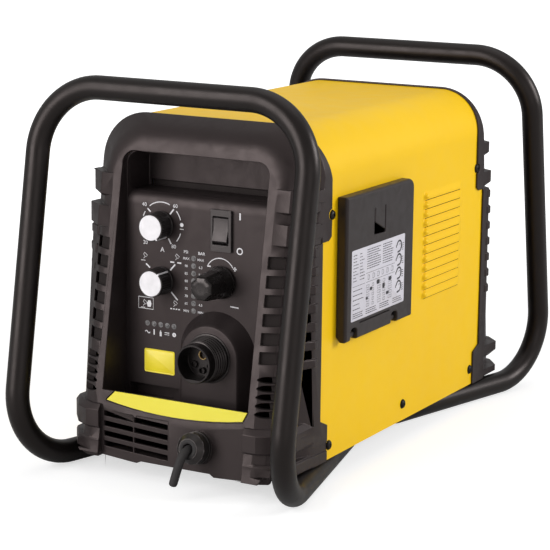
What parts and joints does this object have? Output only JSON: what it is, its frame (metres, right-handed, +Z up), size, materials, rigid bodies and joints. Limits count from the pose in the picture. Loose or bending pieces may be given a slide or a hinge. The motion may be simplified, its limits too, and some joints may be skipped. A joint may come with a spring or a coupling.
{
  "type": "plasma cutter unit",
  "caption": "Portable plasma cutter power unit: arched sheet cover between two moulded end panels, with tube hoops for handles and feet, dials, a torch socket and a side door.",
  "frame": {"origin": "on the floor, under the middle of the case", "axes": "+Z up, the control face looks along -Y, +X to the right of someone facing it"},
  "size_m": [0.3042, 0.59, 0.3716],
  "materials": {
    "powder_yellow": "satin powder coat",
    "powder_black": "satin powder coat",
    "panel_black": "fine moulded texture",
    "control_black": "fine moulded texture",
    "door_black": "fine moulded texture",
    "knob_black": "satin",
    "socket_black": "satin",
    "cap_white": "satin print",
    "lens_clear": "clear lens",
    "label_yellow": "printed film",
    "chart_paper": "printed film",
    "steel_zinc": "zinc plated",
    "steel_black": "black zinc plated",
    "steel_galvanised": "galvanised sheet",
    "core_steel": "laminated, varnished",
    "brass": "turned",
    "aluminium": "extruded",
    "copper_winding": "enamelled winding",
    "board_green": "circuit board",
    "capacitor_sleeve": "heat-shrink sleeve",
    "rubber_black": "cable jacket",
    "switch_black": "gloss moulding",
    "pipe_blue": "nylon pipe"
  },
  "bodies": {
    "chassis": {"base_pan": "steel_galvanised", "sleeve_cover": "powder_yellow", "front_panel": "panel_black", "rear_panel": "panel_black", "front_hoop": "powder_black", "rear_hoop": "powder_black", "hoop_end_plugs": "rubber_black", "foot_bolts": "steel_black", "control_panel": "control_black", "hand_pocket": "control_black", "torch_boss": "control_black", "name_strip": "label_yellow", "face_label": "label_yellow", "torch_socket": "socket_black", "socket_pins": "brass", "gland_body": "socket_black", "gland_nut": "socket_black", "work_lead": "rubber_black", "rocker_frame": "switch_black", "current_pot": "steel_zinc", "selector_switch": "steel_zinc", "air_regulator": "aluminium", "indicator_lenses": "lens_clear", "control_board": "board_green", "storage_box": "door_black", "heat_sink": "aluminium", "main_transformer": "core_steel", "transformer_coils": "copper_winding", "output_inductor": "copper_winding", "power_board": "board_green", "capacitors": "capacitor_sleeve", "solenoid_valve": "brass", "air_pipe": "pipe_blue", "air_inlet": "brass", "fan_frame": "knob_black", "fan_motor": "steel_zinc", "fan_screws": "steel_zinc", "mains_gland": "socket_black", "cover_screws": "steel_black"},
    "current_control": {"current_spindle": "steel_zinc", "current_knob": "knob_black", "current_cap": "cap_white"},
    "selector_control": {"selector_spindle": "steel_zinc", "selector_knob": "knob_black", "selector_cap": "cap_white"},
    "pressure_screw": {"pressure_spindle": "steel_zinc"},
    "pressure_grip": {"pressure_knob": "knob_black"},
    "rocker": {"power_rocker": "switch_black"},
    "door": {"side_door": "door_black", "door_chart": "chart_paper", "door_hinge_pins": "steel_zinc"},
    "fan": {"fan_rotor": "knob_black"}
  },
  "joints": [
    {"name": "current_turn", "type": "hinge", "parent": "chassis", "child": "current_control", "pos_m": [-0.0388, -0.2, 0.2327], "axis": [0, -1, 0], "range_deg": [0, 283]},
    {"name": "selector_turn", "type": "hinge", "parent": "chassis", "child": "selector_control", "pos_m": [-0.0388, -0.2, 0.1805], "axis": [0, -1, 0], "range_deg": [-93, 176]},
    {"name": "pressure_turn", "type": "hinge", "parent": "chassis", "child": "pressure_screw", "pos_m": [0.0255, -0.2, 0.186], "axis": [0, -1, 0], "range_deg": [-720, 720]},
    {"name": "pressure_pull", "type": "slide", "parent": "pressure_screw", "child": "pressure_grip", "axis": [0, -1, 0], "range_m": [0, 0.004]},
    {"name": "rocker_tip", "type": "hinge", "parent": "chassis", "child": "rocker", "pos_m": [0.0258, -0.193, 0.2337], "axis": [1, 0, 0], "range_deg": [0, 18]},
    {"name": "door_swing", "type": "hinge", "parent": "chassis", "child": "door", "pos_m": [0.122, -0.0885, 0.1355], "axis": [0, 1, 0], "range_deg": [0, 90]},
    {"name": "fan_spin", "type": "hinge", "parent": "chassis", "child": "fan", "pos_m": [0, 0.19648, 0.20169], "axis": [0, 0.9862, 0.1655], "continuous": true}
  ]
}
